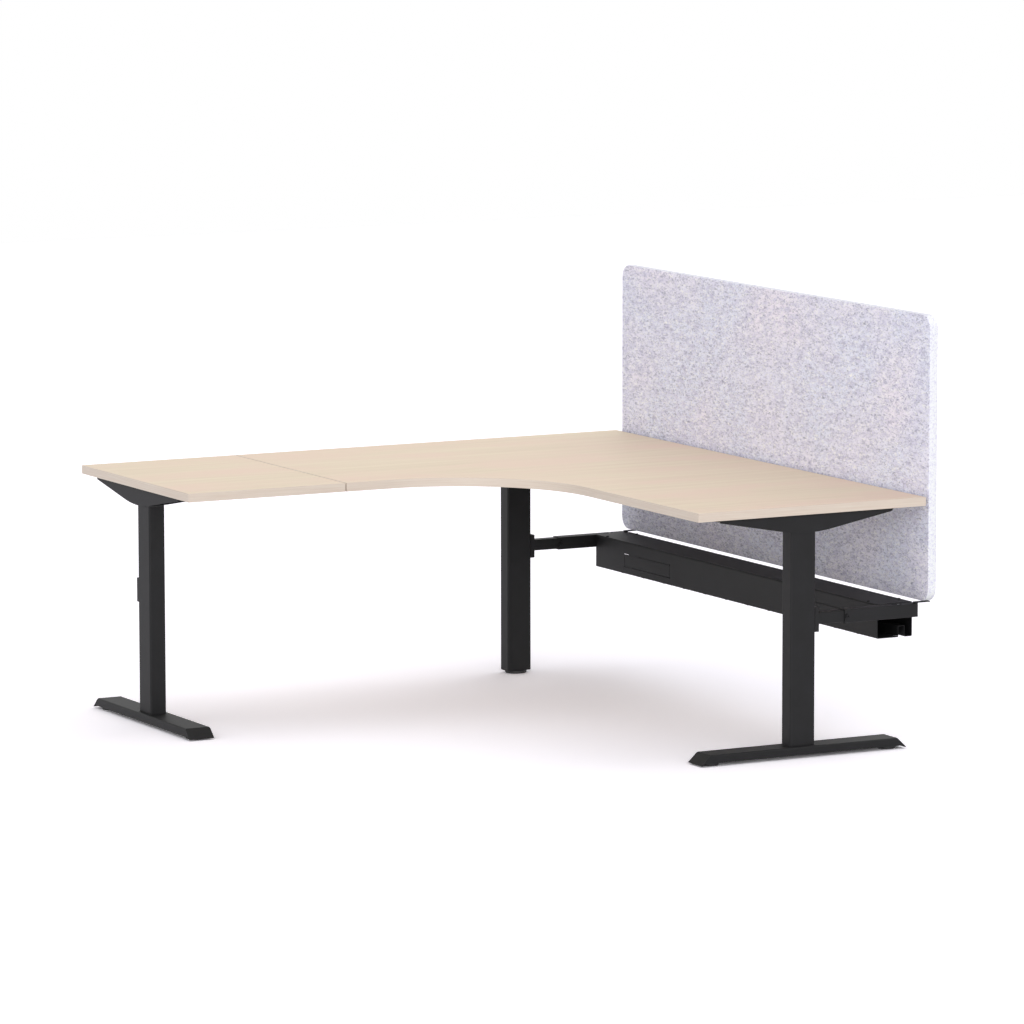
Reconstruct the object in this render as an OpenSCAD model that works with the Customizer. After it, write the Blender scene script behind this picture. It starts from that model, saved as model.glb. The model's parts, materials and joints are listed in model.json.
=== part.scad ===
// Screened corner workstation: an electric sit-stand desk on three lifting columns.
// Millimetres, +Z up. The plan is drawn from the desk's back corner: the left wing runs
// towards -X, the right wing towards -Y, and the finished model is then moved so that its
// origin is on the floor under the middle of its bounding box.

/* [Worktop] */
// Height of the worktop's upper face above the floor, at the lowest setting
desk_height = 716; // [700:2:760]
// Length of the left wing, from the back corner to its end
left_wing = 1800; // [1700:50:2200]
// Length of the right wing, from the back corner to its end
right_wing = 1800; // [1700:50:2200]
// Depth of both wings
wing_depth = 740; // [720:10:800]
// Thickness of the boards
board_thickness = 25; // [22:1:30]
// Radius of the hollow front corner
inside_radius = 420; // [300:10:460]
// Length of the separate board at the end of the left wing
extension_length = 500; // [440:20:560]
// Gap left at the seam between the two boards
seam_gap = 3; // [1.5:0.5:4]
// Thickness of the band glued round the boards
edge_band = 1.5; // [1:0.5:3]

/* [Columns] */
// Long side of the fixed outer tube
column_long = 80; // [78:1:84]
// Short side of the fixed outer tube
column_short = 50; // [48:1:54]
// Wall of the outer tube
column_wall = 2; // [1.5:0.5:2.5]
// Corner radius of the outer tube
column_corner = 5; // [4:0.5:7]
// Long side of the lifting inner tube
inner_long = 70; // [68:0.5:71]
// Short side of the lifting inner tube
inner_short = 40; // [39:0.5:41]
// Wall of the inner tube
inner_wall = 2; // [1.5:0.5:2.5]
// Corner radius of the inner tube
inner_corner = 4; // [3:0.5:5]
// Distance of the column centres from the back edge of their wing
column_from_back = 390; // [360:2:420]
// Distance of the two leg columns from the end of their wing
column_from_end = 44; // [42:1:80]
// Distance of the corner column from the back edge of the left wing
corner_from_back = 72; // [62:2:90]
// Thickness of the plate welded into the foot of each outer tube
base_plate = 6; // [5:0.5:8]

/* [Lifting gear] */
// Travel of the worktop
lift_stroke = 450; // [400:10:460]
// Diameter of the lifting spindle
spindle_d = 12; // [10:1:14]
// Outer diameter of the post that carries the lifting nut
post_d = 28; // [26:1:30]
// Wall of the nut post
post_wall = 1.8; // [1.5:0.1:2.5]
// Length of the lifting nut
nut_length = 34; // [30:1:40]
// Thread of the nut that still holds the spindle at full height
nut_grip = 30; // [20:1:30]
// Distance of the nut's top below the top of the outer tube
nut_below_top = 75; // [70:1:90]
// Length of the gearbox on the column's long side
gearbox_long = 62; // [58:1:63]
// Width of the gearbox on the column's short side
gearbox_short = 34; // [30:1:35]
// Height of the gearbox
gearbox_height = 45; // [42:1:48]
// Diameter of the motor
motor_d = 36; // [32:1:38]
// Length of the motor beyond the gearbox
motor_length = 115; // [90:5:130]

/* [Feet] */
// Length of a foot along the floor
foot_length = 669; // [650:1:700]
// Length of the flat top of a foot
foot_top_length = 608; // [540:4:620]
// Width of a foot
foot_width = 78; // [70:1:90]
// Height of the folded foot, from its noses' lower edge to its top
foot_height = 28.5; // [27:0.5:32]
// Sheet thickness of a foot
foot_sheet = 3; // [2:0.5:4]
// Outer radius of the bends along a foot
foot_bend = 4.5; // [4.5:0.5:8]
// Height of the noses' lower edge above the floor
foot_clear = 4.5; // [3:0.5:6]
// How much higher a foot's side walls end than its sloped noses
foot_arch = 5; // [4:0.5:7]
// Diameter of the glides under the feet
glide_d = 56; // [40:2:60]
// Distance of the glides from the column centre
glide_reach = 290; // [250:5:295]
// Diameter of the round foot under the corner column
corner_glide_d = 66; // [60:1:74]
// Height of the corner column's lower end above the floor
corner_clear = 9; // [8:0.5:12]

/* [Brackets and beams under the worktop] */
// Half length of a side bracket
bracket_half = 284; // [260:4:300]
// Half length of the short bracket on the corner column
corner_bracket_half = 140; // [120:5:170]
// Distance that the left side bracket's middle lies behind its column
left_bracket_shift = 33; // [0:1:40]
// Distance that the right side bracket's middle lies behind its column
right_bracket_shift = 9; // [0:1:40]
// Width of the brackets
bracket_width = 58; // [58:1:66]
// Greatest depth of the brackets
bracket_depth = 53; // [51:1:56]
// Least depth of a bracket at its tips
bracket_tip = 6; // [5:0.5:8]
// Distance that the lower corner of a bracket's tip is cut back
tip_slant = 5; // [3:0.5:8]
// Rise of a bracket's lower edge for each millimetre of its length
bracket_slope = 0.185; // [0.17:0.005:0.2]
// Radius of the rounded belly between the two slopes
belly_radius = 470; // [300:10:600]
// Sheet thickness of the brackets
bracket_sheet = 3; // [2.5:0.5:3]
// Outer radius of the bends along the brackets and the beams
bracket_bend = 4.5; // [4.5:0.5:6]
// Width of the two beams
beam_width = 64; // [62:1:80]
// Height of the two beams
beam_height = 44; // [42:1:50]
// Sheet thickness of the beams
beam_sheet = 2; // [1.5:0.5:3]
// Width of the tabs folded in at the ends of the beams
beam_tab = 10; // [9:0.5:11]
// Width of the flange of each rail of a beam, under the board
beam_flange = 16; // [14:0.5:20]

/* [Telescopic arms] */
// Height of the arms' middle above the floor
arm_height = 390; // [370:0.5:400]
// Side of the square outer arm tube
arm_outer = 38; // [36:0.5:40]
// Wall of the outer arm tube
arm_wall = 2; // [1.5:0.5:2]
// Corner radius of the arm tubes
arm_corner = 3; // [2.5:0.5:4]
// Clearance between the two arm tubes, on each side
arm_play = 0.5; // [0.3:0.1:0.8]
// Distance of the outer arm tube's inner end from the worktop's back edge
arm_outer_start = 250; // [220:5:280]
// Distance of the outer arm tube's outer end from the worktop's back edge
arm_outer_end = 11; // [10:1:14]
// Distance of the inner arm tube's free end from the worktop's back edge
arm_inner_end = 40; // [36:1:44]
// Length of the slot that limits the arms' travel
slot_length = 36; // [30:1:40]
// Width of that slot
slot_width = 8; // [7:0.5:10]
// Distance of the slot's middle from the worktop's back edge
slot_from_back = 68; // [64:1:80]
// Travel of the arms towards the desk
arm_travel_in = 8; // [4:1:9]
// Thickness of the socket plates on the columns
socket_depth = 13; // [10:1:16]
// Width of the socket plates
socket_width = 46; // [42:1:48]
// Height of the socket plates
socket_height = 70; // [68:1:80]
// Distance that a socket plate's middle lies below the arm's middle
socket_drop = 1.5; // [0:0.5:3]

/* [Cable tray] */
// Width of the tray
tray_width = 116.5; // [100:0.5:120]
// Height of the tray with its cover
tray_height = 99; // [92:1:110]
// Sheet thickness of the tray and its cover
tray_sheet = 2; // [1.5:0.5:2.5]
// Outer radius of the bends along the tray
tray_bend = 3.5; // [3:0.5:5]
// Distance of the tray's back wall from the worktop's back edge
tray_from_back = 4; // [3:1:12]
// Height of the tray's cover above the arms' upper face
tray_above_arm = 1; // [-2:0.5:2]
// Width of the lips that carry the cover
tray_lip = 14; // [12:1:18]
// Width of the lugs that are screwed to the arms
lug_width = 30; // [24:1:34]
// Length of a knock-out in the front wall
knockout_length = 278; // [240:2:300]
// Height of a knock-out
knockout_height = 40; // [34:1:44]
// Distance of the knock-outs from the tray's ends
knockout_from_end = 179; // [150:1:220]
// Distance of a knock-out's upper edge below the tray's top
knockout_drop = 37.5; // [30:0.5:40]
// Width of the laser cut round a knock-out
knockout_cut = 1.5; // [1:0.25:2]
// Diameter of the relief holes at a knock-out's corners
relief_d = 5; // [4:0.5:6]
// Width of the rail along the tray's floor
rail_width = 22; // [20:1:30]
// Height of that rail
rail_height = 30; // [25:1:38]
// Sheet thickness of the rail
rail_sheet = 1.5; // [1:0.5:2]
// Distance of the rail's middle from the tray's back wall
rail_from_back = 34.5; // [30:0.5:50]
// Length of the notch in the floor under each end of the rail
notch_length = 37; // [30:1:45]
// Spacing of the cable-tie bridges pressed out of the tray's floor
bridge_pitch = 125; // [100:5:160]
// Distance of the first bridge from the corner end of the tray
bridge_first = 155; // [120:5:180]

/* [Screen] */
// Length of the screen
screen_length = 1780; // [1600:2:1790]
// Height of the screen
screen_height = 815; // [600:5:900]
// Thickness of the screen
screen_thickness = 27; // [20:1:32]
// Radius of the screen's four corners
screen_corner = 38; // [20:2:60]
// Gap between the worktop's back edge and the screen
screen_gap = 10; // [9:1:14]
// Distance of the screen's end from the corner of the desk
screen_from_corner = 19; // [16:1:40]
// Height of the brackets that the screen stands on
screen_seat = 5.5; // [5:0.5:14]
// Thickness of the shelf of a screen bracket
shelf_thickness = 3; // [2:0.5:4]
// Width of a screen bracket
screen_bracket_width = 13; // [12:1:20]

/* [Hidden] */
$fn = 48;
worktop_colour = "#e4d6c4";
band_colour = "#dfcab8";
steel_colour = "#333333";
plastic_colour = "#1d1d1f";
zinc_colour = "#9a9da1";
nut_colour = "#e8e6df";
felt_colour = "#cfcfd8";

// Small clearances, each used wherever that kind of fit occurs
running_play = 0.1;
rest_gap = 0.3;
screw_play = 0.25;
thread_play = 0.05;

// Levels above the floor
underside = desk_height - board_thickness;
foot_top = foot_clear + foot_height;
collar_rim = 3;
column_cover = 5.5;
outer_top = underside - bracket_depth + column_cover - collar_rim;
head_plate = 4;
tube_top = underside - bracket_sheet;
shoe_lip = 3;
shoe_gap = 3.5;
inner_bottom = foot_top + base_plate + shoe_gap + shoe_lip;

// Guides between the tubes
collar_play = 0.3;
collar_depth = 40;
shoe_play = 0.3;
shoe_height = 40;

// Lifting gear
nut_top = outer_top - nut_below_top;
nut_flange = 4;
spindle_bottom = nut_top - nut_grip - lift_stroke;
gearbox_bottom = tube_top - gearbox_height;
spindle_entry = 12;
spindle_collar_d = 20;
spindle_collar = 6;
motor_height = tube_top - gearbox_height / 2;
motor_play = 0.4;
motor_window = motor_d + 2 * motor_play;
motor_cap = 6;

// Feet and glides
foot_screw_d = 8;
foot_screw_x = 26;
foot_screw_y = 12;
foot_screw_head = 5;
glide_pad = 8;
glide_stud_d = 8;
glide_boss_d = 16;
glide_boss = 16;
glide_shoulder_d = 20;
glide_stud_gap = 1.5;
glide_chamfer = 1.5;
corner_stud_d = 10;
corner_stud = 24;

// Plan positions in the desk's own plan
right_end = column_from_end - right_wing;
left_end = column_from_end - left_wing;
seam_x = -(left_wing - extension_length);

// Screws through the top brackets, the head plates and the beams
board_screw_d = 4.5;
board_screw_head = 3;
board_screw_bite = 16;
bracket_screw_places = [-240, -120, 120, 240];
corner_screw_places = [-100, 100];
head_plate_length = 116;
head_plate_play = 2;
head_screw_x = 48;
head_screw_y = 14;
frame_screw_d = 6;
frame_screw_head_d = 10;
frame_screw_head = 4;
tab_screw_d = 5;
tab_screw_head_d = 8.5;
tab_screw_levels = [12, 36];
beam_screw_end = 110;
main_beam_screws = 5;
left_beam_screws = 4;

// Seam plates
seam_plate = [120, 40, 3];
seam_plate_back = 120;
seam_plate_front = [80, 210];
seam_screw_places = [-45, -20, 20, 45];

// Control box under the worktop
box_size = [220, 90, 28];
box_ear = 14;
box_from_beam = 60;
box_from_left_beam = 20;
box_ear_thickness = 3;

// Arms
arm_inner = arm_outer - 2 * arm_wall - 2 * arm_play;
arm_top = arm_height + arm_outer / 2;
socket_play = 0.2;
socket_screw_d = 6;
socket_screw_head_d = 10;
socket_screw_head = 5;
socket_screw_y = 15;
socket_screw_z = 27;
grub_screw_d = 6;
grub_key_d = 3;
grub_key_depth = 4;
grub_below_top = 1;
plug_flange = 3;
plug_depth = 12;
plug_play = 0.2;
clamp_screw_d = 6;
clamp_screw_from_start = 8;
clamp_head_d = 12;
clamp_head = 5;
side_hole_d = 5;
side_hole_from_start = 86;
stop_pin_x = -(slot_from_back - slot_length / 2 + slot_width / 2 + arm_travel_in);

// Tray
tray_top = arm_top + tray_above_arm;
tray_bottom = tray_top - tray_height;
tray_back = -tray_from_back;
tray_front = tray_back - tray_width;
tray_corner_end = -corner_from_back - arm_outer / 2;
tray_far_end = right_end + arm_outer / 2;
tray_length = tray_corner_end - tray_far_end;
cover_play = 0.5;
lug_top_gap = 0.5;
lug_bottom_gap = 1;
tray_screw_d = 5;
tray_screw_head_d = 9;
tray_screw_head = 2.5;
cover_screw_from_end = 60;
knockout_tab = 3;
rail_middle = tray_back - rail_from_back;
notch_play = 0.5;
bridge = [8, 12, 2];
bridge_from_front = 7;

// Screen
screen_front = screen_gap;
screen_back = screen_gap + screen_thickness;
screen_bottom = arm_top + screen_seat;
shelf_start = 17.5;
shelf_short = 5;
seat_block = 9.5;
seat_screw_from_start = 3;
seat_screw_d = 3;
seat_screw_head_d = 5.5;
screen_screw_d = 5;
screen_screw_head_d = 9;
screen_screw_head = 1.5;
screen_screw_bite = 25;

// Places: each column has its own frame, with x towards the back and y towards the beams

module placed() {
  translate([(left_wing - screen_back) / 2, right_wing / 2, 0]) children();
}

module at_right() {
  translate([-column_from_back, right_end, 0]) children();
}

module at_left() {
  mirror([1, -1, 0]) translate([-column_from_back, left_end, 0]) children();
}

module at_corner() {
  translate([-column_from_back, -corner_from_back, 0]) mirror([0, 1, 0]) children();
}

module at_columns() {
  at_left() children();
  at_right() children();
  at_corner() children();
}

module at_arms() {
  for (y = [right_end, -corner_from_back]) translate([0, y, 0]) children();
}

// Plans and small parts that several pieces share

module rounded_plan(length, width, radius) {
  square([length - 2 * radius, width], center = true);
  square([length, width - 2 * radius], center = true);
  for (x = [-1, 1], y = [-1, 1])
    translate([x * (length / 2 - radius), y * (width / 2 - radius)]) circle(radius);
}

module tube_plan(length, width, radius, wall) {
  difference() {
    rounded_plan(length, width, radius);
    rounded_plan(length - 2 * wall, width - 2 * wall, radius - wall);
  }
}

// The solid outline of a folded channel, open below: its back is at y = top, with rounded bends
module folded_outline(width, top, bend) {
  translate([-width / 2, -1]) square([width, top - bend + 1]);
  translate([bend - width / 2, -1]) square([width - 2 * bend, top + 1]);
  for (x = [-1, 1]) translate([x * (width / 2 - bend), top - bend]) circle(bend);
}

// Extrudes a section along x, centred on x = 0
module along(length) {
  translate([-length / 2, 0, 0]) rotate([90, 0, 90]) linear_extrude(length) children();
}

// A cap screw standing on its head: the seat is at z = 0 and the shank points up
module screw(diameter, length, head_d, head_height) {
  difference() {
    union() {
      translate([0, 0, -head_height]) cylinder(d = head_d, h = head_height);
      cylinder(d = diameter, h = length);
    }
    translate([0, 0, -head_height - 1])
      cylinder(d = head_d * 0.55, h = head_height * 0.6 + 1, $fn = 6);
  }
}

module hole(diameter, low, high) {
  translate([0, 0, low - 1]) cylinder(d = diameter, h = high - low + 2);
}

// Feet, one solid folded sheet each with two threaded bosses for the glides

module foot_profile(inset) {
  run = (foot_length - foot_top_length) / 2;
  slant = inset * sqrt(run * run + foot_height * foot_height) / foot_height;
  shift_top = slant - inset * run / foot_height;
  translate([0, foot_clear])
    polygon([
      [slant - foot_length / 2, inset > 0 ? -1 : 0],
      [foot_length / 2 - slant, inset > 0 ? -1 : 0],
      [foot_top_length / 2 - shift_top, foot_height - inset],
      [shift_top - foot_top_length / 2, foot_height - inset]
    ]);
}

module across(width) {
  translate([0, width / 2, 0]) rotate([90, 0, 0]) linear_extrude(width) children();
}

module foot() {
  color(steel_colour) difference() {
    union() {
      difference() {
        intersection() {
          across(foot_width) foot_profile(0);
          along(foot_length + 2) folded_outline(foot_width, foot_top, foot_bend);
        }
        intersection() {
          across(foot_width - 2 * foot_sheet) foot_profile(foot_sheet);
          along(foot_length) folded_outline(foot_width - 2 * foot_sheet, foot_top - foot_sheet,
                                            foot_bend - foot_sheet);
        }
        across(foot_width + 2) intersection() {
          foot_profile(foot_sheet);
          translate([-foot_length / 2, 0]) square([foot_length, foot_clear + foot_arch]);
        }
      }
      for (x = [-1, 1])
        translate([x * glide_reach, 0, foot_top - foot_sheet - glide_boss])
          cylinder(d = glide_boss_d, h = glide_boss + 1);
    }
    for (x = [-1, 1]) translate([x * glide_reach, 0, 0])
      hole(glide_stud_d + 2 * thread_play, foot_top - foot_sheet - glide_boss, foot_top - foot_sheet - 1);
    foot_screw_spots() hole(foot_screw_d + 2 * screw_play, foot_top - foot_sheet, foot_top);
  }
}

module foot_screw_spots() {
  for (x = [-1, 1], y = [-1, 1])
    translate([x * foot_screw_x, y * foot_screw_y, 0]) children();
}

module foot_left() { at_left() foot(); }

module foot_right() { at_right() foot(); }

module foot_screws() {
  color(zinc_colour)
    for (side = [0, 1]) {
      if (side == 0) at_left() leg_screws();
      if (side == 1) at_right() leg_screws();
    }
}

module leg_screws() {
  foot_screw_spots() translate([0, 0, foot_top - foot_sheet])
    screw(foot_screw_d, foot_sheet + base_plate - rest_gap, foot_screw_d * 1.6, foot_screw_head);
}

// Levelling glides

module glide_disc(diameter, height) {
  cylinder(d1 = diameter - 2 * glide_chamfer, d2 = diameter, h = glide_chamfer);
  translate([0, 0, glide_chamfer]) cylinder(d = diameter, h = height - glide_chamfer);
}

module foot_glide() {
  boss_bottom = foot_top - foot_sheet - glide_boss;
  color(plastic_colour) union() {
    glide_disc(glide_d, glide_pad);
    cylinder(d = glide_shoulder_d, h = boss_bottom - rest_gap);
    cylinder(d = glide_stud_d, h = foot_top - foot_sheet - glide_stud_gap);
  }
}

module glide_left_front() { at_left() translate([-glide_reach, 0, 0]) foot_glide(); }

module glide_left_back() { at_left() translate([glide_reach, 0, 0]) foot_glide(); }

module glide_right_front() { at_right() translate([-glide_reach, 0, 0]) foot_glide(); }

module glide_right_back() { at_right() translate([glide_reach, 0, 0]) foot_glide(); }

module glide_corner() {
  color(plastic_colour) at_corner() union() {
    glide_disc(corner_glide_d, corner_clear - rest_gap);
    cylinder(d = corner_stud_d, h = corner_clear + corner_stud);
  }
}

// Fixed outer tubes with the plate welded into their lower end

module outer_tube(bottom) {
  difference() {
    union() {
      translate([0, 0, bottom]) linear_extrude(outer_top - bottom)
        tube_plan(column_long, column_short, column_corner, column_wall);
      translate([0, 0, bottom]) linear_extrude(base_plate)
        rounded_plan(column_long - column_wall, column_short - column_wall,
                     column_corner - column_wall / 2);
    }
    socket_screw_spots() hole(socket_screw_d + 2 * thread_play, -column_wall - 1, 0);
  }
}

module leg_tube() {
  color(steel_colour) difference() {
    outer_tube(foot_top);
    foot_screw_spots() hole(foot_screw_d + 2 * thread_play, foot_top, foot_top + base_plate);
  }
}

module outer_tube_left() { at_left() leg_tube(); }

module outer_tube_right() { at_right() leg_tube(); }

module outer_tube_corner() {
  color(steel_colour) at_corner() difference() {
    outer_tube(corner_clear);
    hole(corner_stud_d + 2 * thread_play, corner_clear, corner_clear + base_plate);
  }
}

// Plastic collar in the mouth of each outer tube
module guide_collar() {
  mouth_long = inner_long + 2 * collar_play;
  mouth_short = inner_short + 2 * collar_play;
  sleeve_long = column_long - 2 * column_wall - 2 * socket_play;
  sleeve_short = column_short - 2 * column_wall - 2 * socket_play;
  difference() {
    union() {
      translate([0, 0, outer_top - collar_depth]) linear_extrude(collar_depth)
        rounded_plan(sleeve_long, sleeve_short, column_corner - column_wall);
      translate([0, 0, outer_top]) linear_extrude(collar_rim)
        rounded_plan(column_long, column_short, column_corner);
    }
    translate([0, 0, outer_top - collar_depth - 1]) linear_extrude(collar_depth + collar_rim + 2)
      rounded_plan(mouth_long, mouth_short, inner_corner + collar_play);
  }
}

module guide_collars() { color(plastic_colour) at_columns() guide_collar(); }

// Nut posts and nuts: each nut stands on a post welded to the column's base plate

module nut_post(bottom) {
  color(zinc_colour) translate([0, 0, bottom]) difference() {
    cylinder(d = post_d, h = nut_top - nut_flange - bottom);
    translate([0, 0, -1]) cylinder(d = post_d - 2 * post_wall, h = nut_top - bottom);
  }
}

module nut_post_left() { at_left() nut_post(foot_top + base_plate); }

module nut_post_right() { at_right() nut_post(foot_top + base_plate); }

module nut_post_corner() { at_corner() nut_post(corner_clear + base_plate); }

module lift_nut() {
  difference() {
    union() {
      translate([0, 0, nut_top - nut_length])
        cylinder(d = post_d - 2 * post_wall - 2 * running_play, h = nut_length);
      translate([0, 0, nut_top - nut_flange]) cylinder(d = post_d, h = nut_flange);
    }
    hole(spindle_d + 2 * running_play, nut_top - nut_length, nut_top);
  }
}

module lift_nuts() { color(nut_colour) at_columns() lift_nut(); }

// Lifting spindles, held in the gearboxes and turning in the nuts
module spindle() {
  color(zinc_colour) union() {
    translate([0, 0, spindle_bottom])
      cylinder(d = spindle_d, h = gearbox_bottom + spindle_entry - spindle_bottom);
    translate([0, 0, gearbox_bottom - rest_gap - spindle_collar])
      cylinder(d = spindle_collar_d, h = spindle_collar);
  }
}

module spindle_left() { at_left() spindle(); }

module spindle_right() { at_right() spindle(); }

module spindle_corner() { at_corner() spindle(); }

// Lifting inner tubes, with a head plate for the bracket and a window for the motor

module head_screw_spots() {
  for (x = [-1, 1], y = [-1, 1])
    translate([x * head_screw_x, y * head_screw_y, 0]) children();
}

module inner_tube() {
  head_width = bracket_width - 2 * bracket_sheet - 2 * head_plate_play;
  color(steel_colour) difference() {
    union() {
      translate([0, 0, inner_bottom]) linear_extrude(tube_top - inner_bottom)
        tube_plan(inner_long, inner_short, inner_corner, inner_wall);
      translate([0, 0, tube_top - head_plate]) linear_extrude(head_plate) difference() {
        square([head_plate_length, head_width], center = true);
        rounded_plan(inner_long - inner_wall, inner_short - inner_wall,
                     inner_corner - inner_wall / 2);
      }
    }
    head_screw_spots() hole(frame_screw_d + 2 * screw_play, tube_top - head_plate, tube_top);
    motor_opening(inner_short / 2);
  }
}

// Round opening for the motor through whatever lies on the beam's side of the column
module motor_opening(reach) {
  translate([0, 0, motor_height]) rotate([-90, 0, 0]) cylinder(d = motor_window, h = reach + 1);
}

module inner_tube_left() { at_left() inner_tube(); }

module inner_tube_right() { at_right() inner_tube(); }

module inner_tube_corner() { at_corner() inner_tube(); }

// Plastic shoe on the lower end of each inner tube
module lower_guide() {
  difference() {
    translate([0, 0, inner_bottom - shoe_lip]) linear_extrude(shoe_height + shoe_lip)
      rounded_plan(column_long - 2 * column_wall - 2 * shoe_play,
                   column_short - 2 * column_wall - 2 * shoe_play,
                   column_corner - column_wall);
    translate([0, 0, inner_bottom]) linear_extrude(shoe_height + 1)
      rounded_plan(inner_long, inner_short, inner_corner);
    translate([0, 0, inner_bottom - shoe_lip - 1]) linear_extrude(shoe_lip + 2)
      rounded_plan(inner_long - 2 * inner_wall, inner_short - 2 * inner_wall,
                   inner_corner - inner_wall);
  }
}

module lower_guides() { color(plastic_colour) at_columns() lower_guide(); }

// Motor and gearbox of each column
module motor_unit() {
  color(plastic_colour) difference() {
    union() {
      translate([-gearbox_long / 2, -gearbox_short / 2, gearbox_bottom])
        cube([gearbox_long, gearbox_short, gearbox_height]);
      translate([0, 0, motor_height]) rotate([-90, 0, 0]) {
        cylinder(d = motor_d, h = gearbox_short / 2 + motor_length);
        cylinder(d = motor_d * 0.7, h = gearbox_short / 2 + motor_length + motor_cap);
      }
    }
    hole(spindle_d + 2 * running_play, gearbox_bottom, gearbox_bottom + spindle_entry);
  }
}

module motor_left() { at_left() motor_unit(); }

module motor_right() { at_right() motor_unit(); }

module motor_corner() { at_corner() motor_unit(); }

// Folded brackets that carry the worktop: a channel, open below, tapering to both tips

function bracket_drop(s) =
  let (tangent = belly_radius * sin(atan(bracket_slope)))
  abs(s) < tangent
    ? bracket_depth - belly_radius + sqrt(belly_radius * belly_radius - s * s)
    : bracket_depth - belly_radius * (1 - cos(atan(bracket_slope))) - bracket_slope * (abs(s) - tangent);

module bracket_profile(half) {
  tangent = belly_radius * sin(atan(bracket_slope));
  steps = 12;
  lower = [for (i = [-steps : steps]) tangent * i / steps];
  tip = underside - max(bracket_tip, bracket_drop(half - tip_slant));
  polygon(concat(
    [[-half, underside], [tip_slant - half, tip]],
    [for (s = lower) [s, underside - bracket_drop(s)]],
    [[half - tip_slant, tip], [half, underside]]
  ));
}

module bracket(half, shift, screw_places) {
  color(steel_colour) difference() {
    translate([shift, 0, 0]) intersection() {
      across(bracket_width) bracket_profile(half);
      along(2 * half + 2) folded_outline(bracket_width, underside, bracket_bend);
    }
    translate([shift, 0, 0]) along(2 * half + 2)
      folded_outline(bracket_width - 2 * bracket_sheet, tube_top, bracket_bend - bracket_sheet);
    for (x = screw_places) translate([shift + x, 0, 0])
      hole(board_screw_d + 2 * screw_play, underside - bracket_sheet, underside);
    head_screw_spots() hole(frame_screw_d + 2 * thread_play, tube_top, underside);
    motor_opening(bracket_width / 2);
    translate([0, bracket_width / 2, 0])
      tab_screw_spots() hole(tab_screw_d + 2 * thread_play, 0, bracket_sheet);
  }
}

module side_bracket_left() { at_left() bracket(bracket_half, left_bracket_shift, bracket_screw_places); }

module side_bracket_right() { at_right() bracket(bracket_half, right_bracket_shift, bracket_screw_places); }

module corner_bracket() { at_corner() bracket(corner_bracket_half, 0, corner_screw_places); }

// Beams: folded channels, open below, with two tabs folded in at each end

// Screw places on a beam's end, as holes that run from the tab's face towards -y
module tab_screw_spots() {
  for (x = [-1, 1], drop = tab_screw_levels)
    translate([x * (beam_width / 2 - beam_sheet - beam_tab / 2), 0, underside - drop])
      rotate([90, 0, 0]) children();
}

// Extrudes a beam's section from y = low to y = high
module beam_run(low, high) {
  translate([0, high, 0]) rotate([90, 0, 0]) linear_extrude(high - low) children();
}

// A beam from y = 0 to y = length, centred on x = 0: two angle rails, with tabs at their ends
module beam(length, screws) {
  inside = beam_width - 2 * beam_sheet;
  difference() {
    intersection() {
      translate([-beam_width / 2, 0, underside - beam_height]) cube([beam_width, length, beam_height]);
      beam_run(-1, length + 1) folded_outline(beam_width, underside, bracket_bend);
    }
    difference() {
      beam_run(-1, length + 1)
        folded_outline(inside, underside - beam_sheet, bracket_bend - beam_sheet);
      for (x = [-1, 1], y = [0, length - beam_sheet])
        translate([x * (inside / 2 - beam_tab / 2) - beam_tab / 2 - (x < 0 ? 1 : 0), y, 0])
          cube([beam_tab + 1, beam_sheet, underside]);
    }
    translate([beam_flange - beam_width / 2, -1, underside - beam_height - 1])
      cube([beam_width - 2 * beam_flange, length + 2, beam_height + 2]);
    for (y = [0, length - beam_sheet]) translate([0, y + beam_sheet, 0])
      tab_screw_spots() hole(tab_screw_d + 2 * screw_play, 0, beam_sheet);
    beam_screw_spots(length, screws)
      hole(board_screw_d + 2 * screw_play, underside - beam_sheet, underside);
  }
}

// Screws through the flanges of a beam's rails
module beam_screw_spots(length, screws) {
  first = motor_length + beam_screw_end / 2;
  for (i = [0 : screws - 1], x = [-1, 1])
    translate([x * (beam_width - beam_flange - beam_sheet) / 2,
               first + i * (length - 2 * first) / (screws - 1), 0]) children();
}

main_beam_start = right_end + bracket_width / 2;
main_beam_length = -corner_from_back - bracket_width / 2 - main_beam_start;
left_beam_start = left_end + bracket_width / 2;
left_beam_length = -column_from_back - beam_width / 2 - left_beam_start;

module at_main_beam() {
  translate([-column_from_back, main_beam_start, 0]) children();
}

module at_left_beam() {
  mirror([1, -1, 0]) translate([-column_from_back, left_beam_start, 0]) children();
}

module beam_main() {
  color(steel_colour) difference() {
    at_main_beam() beam(main_beam_length, main_beam_screws);
    at_left_beam() translate([0, left_beam_length + beam_sheet, 0])
      tab_screw_spots() hole(tab_screw_d + 2 * thread_play, 0, beam_sheet);
  }
}

module beam_left() { color(steel_colour) at_left_beam() beam(left_beam_length, left_beam_screws); }

// Boards

module wing_plan(low, high, inset) {
  translate([low + inset, inset - wing_depth])
    square([high - low - 2 * inset, wing_depth - 2 * inset]);
}

module main_plan(inset) {
  wing_plan(seam_x + seam_gap / 2, 0, inset);
  translate([inset - wing_depth, inset - right_wing])
    square([wing_depth - 2 * inset, right_wing - 2 * inset]);
  translate([-wing_depth - inside_radius, -wing_depth - inside_radius]) difference() {
    square(inside_radius + inset + 1);
    circle(inside_radius + inset, $fn = 180);
  }
}

module extension_plan(inset) {
  wing_plan(-left_wing, seam_x - seam_gap / 2, inset);
}

module board_holes() {
  board_screw_spots()
    translate([0, 0, underside - 1]) cylinder(d = board_screw_d + 2 * thread_play, h = board_screw_bite + 1);
}

module worktop_main() {
  color(worktop_colour) difference() {
    translate([0, 0, underside]) linear_extrude(board_thickness) main_plan(edge_band);
    board_holes();
  }
}

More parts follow.
